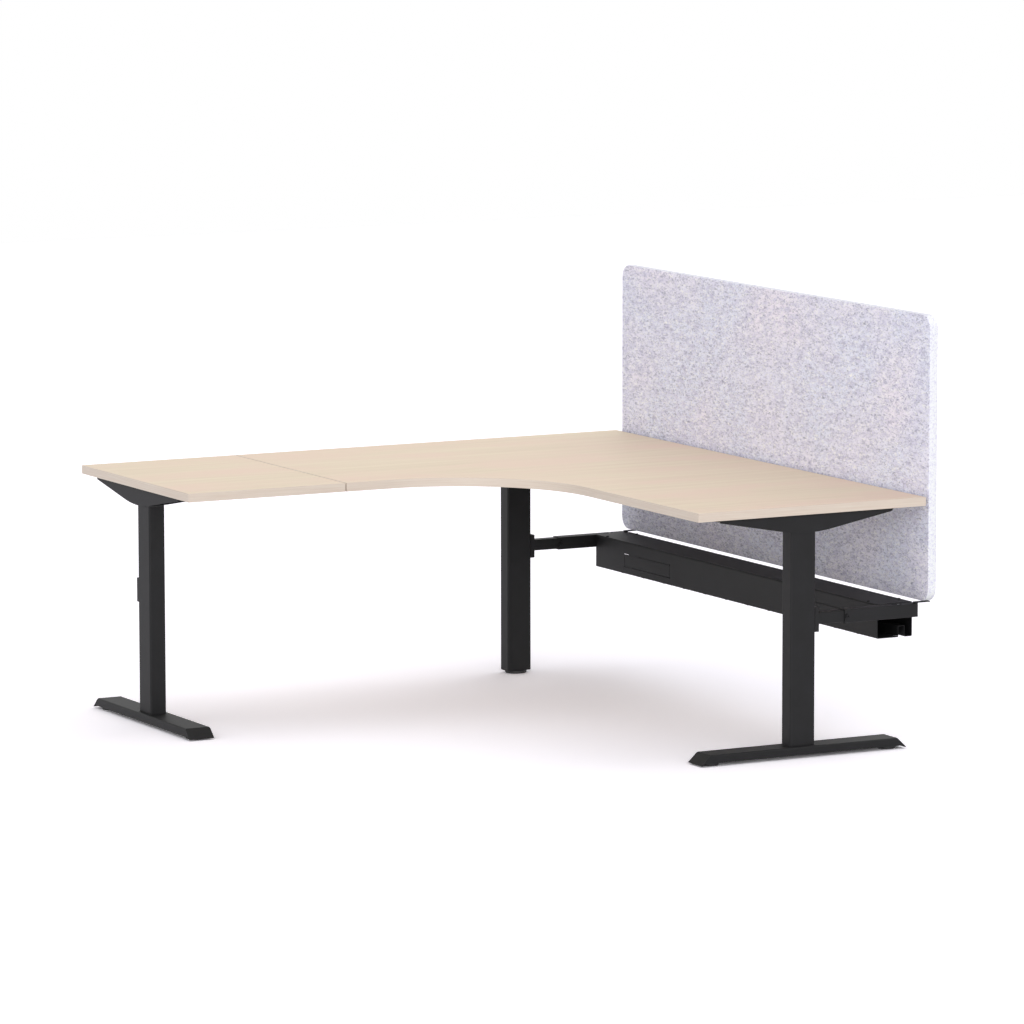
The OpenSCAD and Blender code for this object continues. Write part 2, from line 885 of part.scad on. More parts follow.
module worktop_extension() {
  color(worktop_colour) difference() {
    translate([0, 0, underside]) linear_extrude(board_thickness) extension_plan(edge_band);
    board_holes();
  }
}

module edge_band_main() {
  color(band_colour) translate([0, 0, underside]) linear_extrude(board_thickness) difference() {
    main_plan(0);
    main_plan(edge_band);
  }
}

module edge_band_extension() {
  color(band_colour) translate([0, 0, underside]) linear_extrude(board_thickness) difference() {
    extension_plan(0);
    extension_plan(edge_band);
  }
}

// Every screw that goes up into the boards, by what it holds

module bracket_board_spots() {
  for (x = bracket_screw_places) {
    at_left() translate([left_bracket_shift + x, 0, 0]) children();
    at_right() translate([right_bracket_shift + x, 0, 0]) children();
  }
  for (x = corner_screw_places) at_corner() translate([x, 0, 0]) children();
}

module beam_board_spots() {
  at_main_beam() beam_screw_spots(main_beam_length, main_beam_screws) children();
  at_left_beam() beam_screw_spots(left_beam_length, left_beam_screws) children();
}

module seam_plate_spots() {
  for (y = concat([-seam_plate_back], [for (d = seam_plate_front) d - wing_depth]))
    translate([seam_x, y, 0]) children();
}

module seam_screw_spots() {
  seam_plate_spots() for (x = seam_screw_places) translate([x, 0, 0]) children();
}

module box_spots() {
  at_control_box() for (x = [-1, 1])
    translate([x * (box_size.x + box_ear) / 2, 0, 0]) children();
}

module board_screw_spots() {
  bracket_board_spots() children();
  beam_board_spots() children();
  seam_screw_spots() children();
  box_spots() children();
}

module board_screw(sheet) {
  translate([0, 0, underside - sheet])
    screw(board_screw_d, sheet + board_screw_bite - 1, board_screw_d * 2, board_screw_head);
}

module worktop_screws() {
  color(zinc_colour) {
    bracket_board_spots() board_screw(bracket_sheet);
    beam_board_spots() board_screw(beam_sheet);
    box_spots() board_screw(box_ear_thickness);
  }
}

module seam_screws() { color(zinc_colour) seam_screw_spots() board_screw(seam_plate.z); }

module seam_plates() {
  color(steel_colour) seam_plate_spots() difference() {
    translate([-seam_plate.x / 2, -seam_plate.y / 2, underside - seam_plate.z]) cube(seam_plate);
    for (x = seam_screw_places) translate([x, 0, 0])
      hole(board_screw_d + 2 * screw_play, underside - seam_plate.z, underside);
  }
}

// Screws of the steel frame: beams to brackets, beam to beam, and brackets to head plates

module tab_screw(depth) {
  screw(tab_screw_d, depth, tab_screw_head_d, tab_screw_head_d * 0.5);
}

module frame_screws() {
  color(zinc_colour) {
    at_columns() head_screw_spots() translate([0, 0, tube_top - head_plate])
      screw(frame_screw_d, head_plate + bracket_sheet - rest_gap, frame_screw_head_d, frame_screw_head);
    at_main_beam() translate([0, beam_sheet, 0]) tab_screw_spots() tab_screw(beam_sheet + bracket_sheet);
    at_main_beam() translate([0, main_beam_length - beam_sheet, 0]) mirror([0, 1, 0])
      tab_screw_spots() tab_screw(beam_sheet + bracket_sheet);
    at_left_beam() translate([0, beam_sheet, 0]) tab_screw_spots() tab_screw(beam_sheet + bracket_sheet);
    at_left_beam() translate([0, left_beam_length - beam_sheet, 0]) mirror([0, 1, 0])
      tab_screw_spots() tab_screw(2 * beam_sheet);
  }
}

// Control box between the two beams
module at_control_box() {
  translate([-column_from_back - beam_width / 2 - box_from_beam - box_size.x / 2 - box_ear,
             -column_from_back + beam_width / 2 + box_from_left_beam + box_size.y / 2, 0])
    children();
}

module control_box() {
  color(plastic_colour) at_control_box() difference() {
    union() {
      translate([-box_size.x / 2, -box_size.y / 2, underside - box_size.z]) cube(box_size);
      translate([-box_size.x / 2 - box_ear, -box_ear, underside - box_ear_thickness])
        cube([box_size.x + 2 * box_ear, 2 * box_ear, box_ear_thickness]);
    }
    for (x = [-1, 1]) translate([x * (box_size.x + box_ear) / 2, 0, 0])
      hole(board_screw_d + 2 * screw_play, underside - box_ear_thickness, underside);
  }
}

// Sockets for the telescopic arms, screwed to the back face of each column

// Screw places of a socket plate, as holes that run from the column's face towards +x
module socket_screw_spots() {
  for (y = [-1, 1], z = [-1, 1])
    translate([column_long / 2, y * socket_screw_y, arm_height - socket_drop + z * socket_screw_z])
      rotate([0, 90, 0]) children();
}

module arm_socket() {
  middle = arm_height - socket_drop;
  opening = arm_inner + 2 * socket_play;
  color(steel_colour) difference() {
    translate([column_long / 2, -socket_width / 2, middle - socket_height / 2])
      cube([socket_depth, socket_width, socket_height]);
    translate([column_long / 2 - 1, -opening / 2, arm_height - opening / 2])
      cube([socket_depth + 2, opening, opening]);
    socket_screw_spots() hole(socket_screw_d + 2 * screw_play, 0, socket_depth);
    socket_screw_spots() translate([0, 0, socket_depth - socket_screw_head])
      cylinder(d = socket_screw_head_d + 2 * screw_play, h = socket_screw_head + 1);
    translate([column_long / 2 + socket_depth / 2, 0, arm_height])
      cylinder(d = grub_screw_d + 2 * thread_play, h = socket_height);
  }
}

module arm_socket_left() { at_left() arm_socket(); }

module arm_socket_right() { at_right() arm_socket(); }

module arm_socket_corner() { at_corner() arm_socket(); }

module socket_screws() {
  color(zinc_colour) at_columns() socket_screw_spots() translate([0, 0, socket_depth - socket_screw_head])
    mirror([0, 0, 1])
      screw(socket_screw_d, socket_depth - socket_screw_head + column_wall - rest_gap,
            socket_screw_head_d, socket_screw_head);
}

// Grub screws that hold the two arms in their sockets
module grub_screws() {
  low = arm_height + arm_inner / 2;
  high = arm_height - socket_drop + socket_height / 2;
  color(zinc_colour) at_arms() translate([socket_depth / 2 + column_long / 2 - column_from_back, 0, low])
    difference() {
      cylinder(d = grub_screw_d, h = high - low - grub_below_top);
      translate([0, 0, high - low - grub_key_depth]) cylinder(d = grub_key_d, h = grub_key_depth, $fn = 6);
    }
}

// Telescopic arms: the inner tube stays in its socket, the outer tube slides on it

module square_tube(side, low, high) {
  translate([(low + high) / 2, 0, arm_height]) along(high - low)
    tube_plan(side, side, arm_corner, arm_wall);
}

module arm_inner_tube() {
  color(zinc_colour) difference() {
    square_tube(arm_inner, column_long / 2 - column_from_back, -arm_inner_end);
    translate([stop_pin_x, 0, 0])
      hole(slot_width - 2 * screw_play, arm_height + arm_inner / 2 - arm_wall, arm_height + arm_inner / 2);
  }
}

module arm_outer_tube() {
  slot_reach = (slot_length - slot_width) / 2;
  color(steel_colour) difference() {
    square_tube(arm_outer, -arm_outer_start, -arm_outer_end);
    translate([-slot_from_back, 0, arm_top - arm_wall - 0.5]) linear_extrude(arm_wall + 1) {
      for (x = [-1, 1]) translate([x * slot_reach, 0]) circle(d = slot_width);
      square([2 * slot_reach, slot_width], center = true);
    }
    translate([clamp_screw_from_start - arm_outer_start, arm_wall - arm_outer / 2, arm_height])
      rotate([90, 0, 0]) hole(clamp_screw_d + 2 * thread_play, 0, arm_wall);
    translate([seat_screw_from_start - shelf_start, (screen_bracket_width - arm_outer) / 2, 0])
      hole(seat_screw_d + 2 * thread_play, arm_top - arm_wall, arm_top);
  }
}

module arm_inner_right() { translate([0, right_end, 0]) arm_inner_tube(); }

module arm_inner_corner() { translate([0, -corner_from_back, 0]) arm_inner_tube(); }

module arm_outer_right() {
  difference() {
    translate([0, right_end, 0]) arm_outer_tube();
    lug_screw_spots() hole(tray_screw_d + 2 * thread_play, 0, tray_sheet + arm_wall);
  }
}

module arm_outer_corner() {
  difference() {
    translate([0, -corner_from_back, 0]) arm_outer_tube();
    translate([side_hole_from_start - arm_outer_start, arm_wall - corner_from_back - arm_outer / 2, arm_height])
      rotate([90, 0, 0]) hole(side_hole_d, 0, arm_wall);
    lug_screw_spots() hole(tray_screw_d + 2 * thread_play, 0, tray_sheet + arm_wall);
  }
}

// Pins in the inner tubes that run in the slots of the outer tubes
module arm_stop_pins() {
  color(zinc_colour) at_arms() translate([stop_pin_x, 0, arm_height + arm_inner / 2 - arm_wall])
    cylinder(d = slot_width - 2 * screw_play - 2 * thread_play, h = 2 * arm_wall + arm_play - rest_gap);
}

module arm_end_plugs() {
  body = arm_outer - 2 * arm_wall - 2 * plug_play;
  color(plastic_colour) at_arms() union() {
    translate([plug_flange / 2 - arm_outer_end, 0, arm_height]) along(plug_flange)
      rounded_plan(arm_outer, arm_outer, arm_corner);
    translate([-arm_outer_end - (plug_depth - 1) / 2, 0, arm_height]) along(plug_depth + 1)
      rounded_plan(body, body, arm_corner - arm_wall);
  }
}

// Clamp screws at the mouths of the outer tubes
module clamp_screws() {
  color(zinc_colour) at_arms()
    translate([clamp_screw_from_start - arm_outer_start, -arm_outer / 2, arm_height])
      rotate([-90, 0, 0]) screw(clamp_screw_d, arm_wall + arm_play - rest_gap, clamp_head_d, clamp_head);
}

// Cable tray: a folded channel with lips, lugs, knock-outs and cable-tie bridges

// Upper edge of the lugs, and the level of their screws
lug_top = tray_top - 2 * tray_sheet - lug_top_gap;
lug_bottom = arm_height - arm_outer / 2 + lug_bottom_gap;
lug_level = (lug_top + lug_bottom) / 2;

module tray_section() {
  height = tray_height - tray_sheet;
  translate([(tray_front + tray_back) / 2, tray_bottom + height / 2]) difference() {
    tube_plan(tray_width, height, tray_bend, tray_sheet);
    translate([0, height / 2]) square([tray_width - 2 * tray_lip, height], center = true);
  }
}

module lug(left) {
  translate([left, 0, lug_bottom]) cube([lug_width, tray_sheet, lug_top - lug_bottom]);
}

module tray_lugs() {
  for (y = [tray_far_end, tray_corner_end - tray_sheet]) translate([0, y, 0]) {
    lug(tray_front + tray_sheet / 2);
    lug(tray_back - tray_sheet / 2 - lug_width);
  }
}

// Lug screws, as holes that run from a lug's inner face into the arm
module lug_screw_spots() {
  for (x = [tray_front + tray_sheet + lug_width / 2, tray_back - tray_sheet - lug_width / 2]) {
    translate([x, tray_far_end + tray_sheet, lug_level]) rotate([90, 0, 0]) children();
    translate([x, tray_corner_end - tray_sheet, lug_level]) rotate([-90, 0, 0]) children();
  }
}

module knockout_plan() {
  difference() {
    square([knockout_length, knockout_height]);
    translate([knockout_cut, knockout_cut])
      square([knockout_length - 2 * knockout_cut, knockout_height - 2 * knockout_cut]);
    for (share = [1 / 3, 2 / 3]) translate([knockout_length * share - knockout_tab / 2, -1])
      square([knockout_tab, knockout_height + 2]);
  }
  for (x = [0, knockout_length], y = [0, knockout_height])
    translate([x, y]) circle(d = relief_d);
}

module knockouts() {
  for (y = [tray_far_end + knockout_from_end, tray_corner_end - knockout_from_end - knockout_length])
    translate([tray_front - 1, y, tray_top - knockout_drop - knockout_height])
      rotate([90, 0, 90]) linear_extrude(tray_sheet + 2) knockout_plan();
}

module tray_bridges() {
  count = floor((tray_length - bridge_first - bridge_pitch / 2) / bridge_pitch) + 1;
  for (i = [0 : count - 1])
    translate([tray_front + bridge_from_front, tray_corner_end - bridge_first - i * bridge_pitch - bridge.y / 2,
               tray_bottom - bridge.z]) cube([bridge.x, bridge.y, bridge.z + tray_sheet / 2]);
}

module cover_screw_spots() {
  for (x = [tray_front + tray_lip / 2, tray_back - tray_lip / 2],
       y = [tray_far_end + cover_screw_from_end, tray_corner_end - cover_screw_from_end])
    translate([x, y, tray_top]) mirror([0, 0, 1]) children();
}

module tray_channel() {
  notch_width = rail_width + 2 * notch_play;
  color(steel_colour) difference() {
    union() {
      translate([0, tray_corner_end, 0]) rotate([90, 0, 0]) linear_extrude(tray_length) tray_section();
      tray_lugs();
      tray_bridges();
    }
    knockouts();
    for (y = [tray_far_end - 1, tray_corner_end - notch_length])
      translate([rail_middle - notch_width / 2, y, tray_bottom - 1])
        cube([notch_width, notch_length + 1, tray_sheet + 2]);
    lug_screw_spots() hole(tray_screw_d + 2 * screw_play, 0, tray_sheet);
    cover_screw_spots() hole(tray_screw_d + 2 * thread_play, tray_sheet, 2 * tray_sheet);
  }
}

module tray_cover() {
  color(steel_colour) difference() {
    translate([tray_front, tray_far_end + cover_play, tray_top - tray_sheet])
      cube([tray_width, tray_length - 2 * cover_play, tray_sheet]);
    cover_screw_spots() hole(tray_screw_d + 2 * screw_play, 0, tray_sheet);
  }
}

module tray_rail() {
  color(steel_colour) translate([rail_middle, tray_far_end + tray_sheet, tray_bottom + tray_sheet])
    difference() {
      translate([-rail_width / 2, 0, 0]) cube([rail_width, tray_length - 2 * tray_sheet, rail_height]);
      translate([rail_sheet - rail_width / 2, -1, -1])
        cube([rail_width - 2 * rail_sheet, tray_length, rail_height + 1 - rail_sheet]);
    }
}

module tray_screw() {
  screw(tray_screw_d, tray_sheet + min(tray_sheet, arm_wall) - 0.1, tray_screw_head_d, tray_screw_head);
}

module tray_screws() {
  color(zinc_colour) {
    lug_screw_spots() tray_screw();
    cover_screw_spots() tray_screw();
  }
}

// Screen: a felt panel on two small shelves at the outer ends of the arms

// The brackets stand flush with the side of the arms that faces the wing's end
module at_screen_brackets() {
  at_arms() translate([0, (screen_bracket_width - arm_outer) / 2, 0]) children();
}

module screen_screw_spots() {
  at_screen_brackets() translate([screen_front + screen_thickness / 2, 0, 0]) children();
}

module seat_screw_spots() {
  at_screen_brackets() translate([seat_screw_from_start - shelf_start, 0, 0]) children();
}

module screen_brackets() {
  color(steel_colour) difference() {
    at_screen_brackets() union() {
      translate([-shelf_start, -screen_bracket_width / 2, screen_bottom - shelf_thickness])
        cube([shelf_start + screen_back - shelf_short, screen_bracket_width, shelf_thickness]);
      translate([-shelf_start, -screen_bracket_width / 2, arm_top])
        cube([seat_block, screen_bracket_width, screen_seat - shelf_thickness / 2]);
    }
    seat_screw_spots() {
      hole(seat_screw_d + 2 * screw_play, arm_top, screen_bottom);
      translate([0, 0, screen_bottom - screen_screw_head])
        cylinder(d = seat_screw_head_d + 2 * screw_play, h = screen_screw_head + 1);
    }
    screen_screw_spots() {
      hole(screen_screw_d + 2 * screw_play, screen_bottom - shelf_thickness, screen_bottom);
      translate([0, 0, screen_bottom - shelf_thickness - 1])
        cylinder(d = screen_screw_head_d + 2 * screw_play, h = screen_screw_head + 1);
    }
  }
}

module screen_panel() {
  color(felt_colour) difference() {
    translate([screen_front, -screen_from_corner - screen_length / 2, screen_bottom + screen_height / 2])
      rotate([90, 0, 90]) linear_extrude(screen_thickness)
        rounded_plan(screen_length, screen_height, screen_corner);
    screen_screw_spots() translate([0, 0, screen_bottom - 1])
      cylinder(d = screen_screw_d + 2 * thread_play, h = screen_screw_bite + 1);
  }
}

module screen_screws() {
  color(zinc_colour) {
    screen_screw_spots() translate([0, 0, screen_bottom - shelf_thickness + screen_screw_head])
      screw(screen_screw_d, shelf_thickness - screen_screw_head + screen_screw_bite - 1,
            screen_screw_head_d, screen_screw_head);
    seat_screw_spots() translate([0, 0, screen_bottom - screen_screw_head]) mirror([0, 0, 1])
      screw(seat_screw_d, screen_seat - screen_screw_head + arm_wall - rest_gap,
            seat_screw_head_d, screen_screw_head);
  }
}

placed() foot_left();
placed() foot_right();
placed() foot_screws();
placed() outer_tube_left();
placed() outer_tube_right();
placed() outer_tube_corner();
placed() guide_collars();
placed() nut_post_left();
placed() nut_post_right();
placed() nut_post_corner();
placed() lift_nuts();
placed() arm_socket_left();
placed() arm_socket_right();
placed() arm_socket_corner();
placed() socket_screws();
placed() grub_screws();
placed() arm_inner_right();
placed() arm_inner_corner();
placed() arm_stop_pins();
placed() glide_left_front();
placed() glide_left_back();
placed() glide_right_front();
placed() glide_right_back();
placed() glide_corner();
placed() arm_outer_right();
placed() arm_outer_corner();
placed() arm_end_plugs();
placed() clamp_screws();
placed() tray_channel();
placed() tray_cover();
placed() tray_rail();
placed() tray_screws();
placed() screen_brackets();
placed() screen_panel();
placed() screen_screws();
placed() worktop_main();
placed() worktop_extension();
placed() edge_band_main();
placed() edge_band_extension();
placed() seam_plates();
placed() seam_screws();
placed() side_bracket_left();
placed() side_bracket_right();
placed() corner_bracket();
placed() inner_tube_left();
placed() inner_tube_right();
placed() inner_tube_corner();
placed() lower_guides();
placed() beam_main();
placed() beam_left();
placed() motor_left();
placed() motor_right();
placed() motor_corner();
placed() control_box();
placed() worktop_screws();
placed() frame_screws();
placed() spindle_left();
placed() spindle_right();
placed() spindle_corner();
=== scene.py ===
"""Looks of a screened corner workstation: a maple-faced sit-stand desk on black steel legs.

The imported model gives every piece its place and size. This script gives each piece its finish,
softens the edges of boards and folded sheets, presses the felt screen, cuts the threads of the
lifting spindles and sets up a plain studio.
"""

import json
import logging
import math
from dataclasses import dataclass
from enum import Enum
from typing import Any, ClassVar

import bmesh
import bpy
from mathutils import Matrix, Vector

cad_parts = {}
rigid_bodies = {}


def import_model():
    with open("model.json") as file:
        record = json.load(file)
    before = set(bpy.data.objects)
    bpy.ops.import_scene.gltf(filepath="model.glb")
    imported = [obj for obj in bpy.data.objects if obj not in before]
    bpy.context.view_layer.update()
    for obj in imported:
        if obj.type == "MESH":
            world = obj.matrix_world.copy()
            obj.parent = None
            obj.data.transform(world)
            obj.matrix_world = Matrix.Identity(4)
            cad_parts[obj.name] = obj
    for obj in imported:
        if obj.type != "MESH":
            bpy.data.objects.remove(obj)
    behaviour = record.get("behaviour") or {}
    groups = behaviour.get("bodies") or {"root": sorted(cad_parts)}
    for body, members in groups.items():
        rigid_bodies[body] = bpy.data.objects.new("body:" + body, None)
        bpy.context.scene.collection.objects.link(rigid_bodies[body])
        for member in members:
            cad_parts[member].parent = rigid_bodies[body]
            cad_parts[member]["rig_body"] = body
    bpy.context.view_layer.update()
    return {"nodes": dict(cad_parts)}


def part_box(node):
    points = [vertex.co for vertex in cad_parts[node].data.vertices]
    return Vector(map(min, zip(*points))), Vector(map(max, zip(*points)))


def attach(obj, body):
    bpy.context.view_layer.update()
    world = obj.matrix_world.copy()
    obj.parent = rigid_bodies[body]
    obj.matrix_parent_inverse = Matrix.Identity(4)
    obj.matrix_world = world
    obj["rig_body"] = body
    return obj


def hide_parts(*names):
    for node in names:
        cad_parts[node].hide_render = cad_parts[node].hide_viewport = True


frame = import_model()

log = logging.getLogger("workstation")

MM = 0.001

Triple = tuple[float, float, float]
Span = tuple[float, float]
Colour = tuple[float, float, float, float]
Socket = bpy.types.NodeSocket

WHITE: Colour = (1.0, 1.0, 1.0, 1.0)


def linear(hex_colour: str) -> Colour:
    """Turn an sRGB hex colour into the linear colour that the shaders take.

    Args:
        hex_colour: the colour as "#rrggbb".

    Returns:
        Linear red, green and blue, and an alpha of one.
    """
    parts = [int(hex_colour[i:i + 2], 16) / 255 for i in (1, 3, 5)]
    red, green, blue = (
        part / 12.92 if part <= 0.04045 else ((part + 0.055) / 1.055) ** 2.4 for part in parts
    )
    return red, green, blue, 1.0


def per_metre(size_mm: float) -> float:
    """Scale of a pattern whose features are size_mm across, on coordinates in metres."""
    return 1 / (size_mm * MM)


def add_node(
    tree: bpy.types.NodeTree,
    kind: str,
    inputs: dict[str | int, Any] | None = None,
    **settings: Any,
) -> bpy.types.Node:
    """Add one shader node with its settings and links.

    Args:
        tree: the node tree that takes the node.
        kind: the node's type without its ShaderNode prefix.
        inputs: for each input, by name or number, a value or the output socket that feeds it.
        **settings: properties of the node itself.

    Returns:
        The new node.
    """
    node = tree.nodes.new("ShaderNode" + kind)
    for name, value in settings.items():
        setattr(node, name, value)
    for name, value in (inputs or {}).items():
        if isinstance(value, Socket):
            tree.links.new(value, node.inputs[name])
        else:
            node.inputs[name].default_value = value
    return node


def add_object(name: str, data: bpy.types.ID) -> bpy.types.Object:
    """Add an object to the scene.

    Args:
        name: the object's name.
        data: its mesh, lamp or camera.

    Returns:
        The new object.
    """
    made = bpy.data.objects.new(name, data)
    bpy.context.scene.collection.objects.link(made)
    return made


@dataclass(frozen=True)
class Pattern:
    """An uneven pattern, whose features have size_mm along X, Y and Z on the real piece.

    A second colour comes in between the two values of span. Detail is the number of finer
    layers, and curl is how far the features curl.
    """

    size_mm: Triple
    span: Span = (0.0, 1.0)
    detail: float = 2.0
    curl: float = 0.0


@dataclass(frozen=True)
class Relief(Pattern):
    """A pattern that is depth_mm high on the real piece, and how much of that shows."""

    depth_mm: float = 0.02
    strength: float = 0.5


class Brush:
    """Paints one material."""

    def __init__(self, material: bpy.types.Material) -> None:
        """Take a new material's shader and the coordinates on its piece.

        Args:
            material: the material, which uses nodes.
        """
        self.tree = material.node_tree
        self.shader = self.tree.nodes["Principled BSDF"]
        self.on_piece = add_node(self.tree, "TexCoord").outputs
        self.values: dict[Pattern, Socket] = {}

    def value(self, pattern: Pattern) -> Socket:
        """Spread a pattern over the piece, once.

        Args:
            pattern: the pattern.

        Returns:
            Its value, about 0.5 on average.
        """
        if pattern not in self.values:
            scale = tuple(per_metre(size) for size in pattern.size_mm)
            placed = add_node(
                self.tree, "Mapping", {"Vector": self.on_piece["Object"], "Scale": scale}
            )
            self.values[pattern] = add_node(self.tree, "TexNoise", {
                "Vector": placed.outputs[0],
                "Scale": 1.0,
                "Detail": pattern.detail,
                "Distortion": pattern.curl,
            }).outputs["Fac"]
        return self.values[pattern]

    def blend(
        self, value: Socket, span: Span, below: str | Socket, above: str | Socket
    ) -> Socket:
        """Go from one colour to another as a value rises.

        Args:
            value: the value that decides.
            span: the values at which the blend starts and ends.
            below: hex colour or socket before the span.
            above: hex colour or socket after the span.

        Returns:
            The blended colour.
        """
        share = add_node(
            self.tree, "MapRange", {"Value": value, "From Min": span[0], "From Max": span[1]}
        ).outputs[0]
        below, above = (
            linear(colour) if isinstance(colour, str) else colour for colour in (below, above)
        )
        # Inputs 6 and 7 and output 2 are the ones that hold colours
        mixed = add_node(self.tree, "Mix", {0: share, 6: below, 7: above}, data_type="RGBA")
        return mixed.outputs[2]

    def layer(self, pattern: Pattern, ground: str | Socket, colour: str | Socket) -> Socket:
        """Let a colour come in over another where a pattern is high.

        Args:
            pattern: the pattern that decides, with its span.
            ground: hex colour or socket where it is low.
            colour: hex colour or socket where it is high.

        Returns:
            The blended colour.
        """
        return self.blend(self.value(pattern), pattern.span, ground, colour)

    def colour(self, colour: Socket) -> None:
        """Give the shader its colour."""
        self.tree.links.new(colour, self.shader.inputs["Base Color"])

    def raise_by(self, relief: Relief) -> None:
        """Raise the surface by a pattern.

        Args:
            relief: the pattern with its depth.
        """
        bump = add_node(self.tree, "Bump", {
            "Height": self.value(relief),
            "Distance": relief.depth_mm * MM,
            "Strength": relief.strength,
        })
        self.tree.links.new(bump.outputs[0], self.shader.inputs["Normal"])


@dataclass(frozen=True)
class Finish:
    """What a surface is made of and how it was finished. Each finish makes one material."""

    name: str
    roughness: float
    ior: float = 1.5
    metallic: float = 0.0
    specular: float = 0.5

    def material(self) -> bpy.types.Material:
        """Make the material the first time, and find it again afterwards.

        Returns:
            The one material of this finish.
        """
        made = bpy.data.materials.get(self.name)
        if made is None:
            made = bpy.data.materials.new(self.name)
            made.use_nodes = True
            brush = Brush(made)
            for socket, number in (
                ("Roughness", self.roughness),
                ("IOR", self.ior),
                ("Metallic", self.metallic),
                ("Specular IOR Level", self.specular),
            ):
                brush.shader.inputs[socket].default_value = number
            self.paint(brush)
        return made

    def paint(self, brush: Brush) -> None:
        """Add the finish's colour and relief to its material.

        Args:
            brush: the brush of the new material.
        """
        raise NotImplementedError


@dataclass(frozen=True)
class PowderCoatedSteel(Finish):
    """Sheet steel, sprayed with fine-texture black powder and baked.

    It gives a satin black with a faint orange peel and soft, broad highlights.
    """

    name: str = "powder_coated_steel"
    roughness: float = 0.55
    specular: float = 0.25
    thick_colour: str = "#131314"
    thin_colour: str = "#18181a"
    cloud: Pattern = Pattern((60.0, 60.0, 60.0), span=(0.3, 0.7), detail=3.0)
    # Real texture powder has a grain of about 0.3 mm; drawn coarser so that it shows
    grain: Relief = Relief((1.3, 1.3, 1.3), depth_mm=0.03, strength=0.6)

    def paint(self, brush: Brush) -> None:
        """Add the coat's thin and thick clouds and its fine grain."""
        brush.colour(brush.layer(self.cloud, self.thick_colour, self.thin_colour))
        brush.raise_by(self.grain)


@dataclass(frozen=True)
class MapleDecor(Finish):
    """Particle board faced with melamine-impregnated maple print, pressed matt.

    It gives a pale, almost even wood with a faint figure along the board and no gloss.
    """

    name: str = "maple_decor_board"
    roughness: float = 0.5
    wood_colour: str = "#e6d5bb"
    figure_colour: str = "#dfccb2"
    blush_colour: str = "#e6cdb8"
    fleck_colour: str = "#d3bda3"
    figure: Pattern = Pattern((700.0, 34.0, 34.0), span=(0.35, 0.68), detail=6.0, curl=0.6)
    blush: Pattern = Pattern((420.0, 190.0, 190.0), span=(0.4, 0.66))
    # Real maple flecks are about 0.3 mm wide; drawn coarser so that they show
    fleck: Relief = Relief((26.0, 2.2, 2.2), span=(0.62, 1.15), depth_mm=0.02, strength=0.3)

    def paint(self, brush: Brush) -> None:
        """Add the maple's figure, its warmer stretches and its short flecks.

        Args:
            brush: the brush of the new material.
        """
        figured = brush.layer(self.figure, self.wood_colour, self.figure_colour)
        warm = brush.layer(self.blush, figured, self.blush_colour)
        brush.colour(brush.layer(self.fleck, warm, self.fleck_colour))
        brush.raise_by(self.fleck)


@dataclass(frozen=True)
class EdgeBandAbs(Finish):
    """Extruded ABS edge band, printed with maple and rounded by a scraper.

    It gives an edge slightly pinker and smoother than the board's face.
    """

    name: str = "abs_edge_band"
    roughness: float = 0.42
    wood_colour: str = "#dbcec1"
    streak_colour: str = "#d3c2b4"
    streak: Pattern = Pattern((180.0, 180.0, 2.6), span=(0.35, 0.7), detail=4.0)

    def paint(self, brush: Brush) -> None:
        """Add the long streaks that run round the edge."""
        brush.colour(brush.layer(self.streak, self.wood_colour, self.streak_colour))


@dataclass(frozen=True)
class PressedFelt(Finish):
    """Polyester felt, needled from mixed fibres and pressed into a board.

    It gives a soft, lightless grey with clumps, dark and light tufts and a fine nap. Its cut
    edges are painted paler than its faces: partly pale cut fibres, partly a painted highlight.
    """

    name: str = "pressed_felt"
    roughness: float = 0.95
    specular: float = 0.15
    warm_colour: str = "#f6f0fe"
    cool_colour: str = "#eaedff"
    clump_colour: str = "#d8d6ec"
    dark_colour: str = "#9191a8"
    light_colour: str = "#ffffff"
    # Paler colour of the cut edges: partly pale cut fibres, partly a painted highlight where
    # light falls on the edges
    cut_edge_and_highlight_colour: str = "#f4f5f8"
    batch: Pattern = Pattern((260.0, 260.0, 260.0), span=(0.35, 0.65))
    clump: Pattern = Pattern((14.0, 34.0, 15.0), span=(0.42, 0.7), detail=4.0, curl=0.6)
    # Real fibres are 0.03 mm thick; drawn as tufts, as coarse as the photograph shows them
    dark_tuft: Pattern = Pattern((6.0, 15.0, 6.0), span=(0.46, 0.78), detail=4.0, curl=1.2)
    light_tuft: Pattern = Pattern((6.0, 13.0, 5.2), span=(0.5, 0.74), detail=4.0, curl=1.2)
    nap: Relief = Relief((1.6, 1.6, 1.6), detail=3.0, curl=1.0, depth_mm=0.35, strength=0.5)
    # Values of the dark tufts between which they come in on a cut edge
    cut_span: Span = (0.46, 0.7)
    # How far a surface faces across the board, from where a face ends to where an edge starts
    edge_span: Span = (0.7, 0.3)

    def paint(self, brush: Brush) -> None:
        """Add warm and cool stretches, clumps, two kinds of tufts, cut edges painted paler as a
        highlight, and the nap.

        Args:
            brush: the brush of the new material.
        """
        wool = brush.layer(self.batch, self.warm_colour, self.cool_colour)
        ground = brush.layer(self.clump, wool, self.clump_colour)
        darker = brush.layer(self.dark_tuft, ground, self.dark_colour)
        face = brush.layer(self.light_tuft, darker, self.light_colour)
        tufts = brush.value(self.dark_tuft)
        # Surfaces that face across the board get the paler colour: partly cut fibres, partly a
        # painted highlight
        cut = brush.blend(tufts, self.cut_span, self.cut_edge_and_highlight_colour, self.clump_colour)
        facing = add_node(brush.tree, "SeparateXYZ", {0: brush.on_piece["Normal"]})
        across = add_node(brush.tree, "Math", {0: facing.outputs["X"]}, operation="ABSOLUTE")
        brush.colour(brush.blend(across.outputs[0], self.edge_span, face, cut))
        brush.raise_by(self.nap)


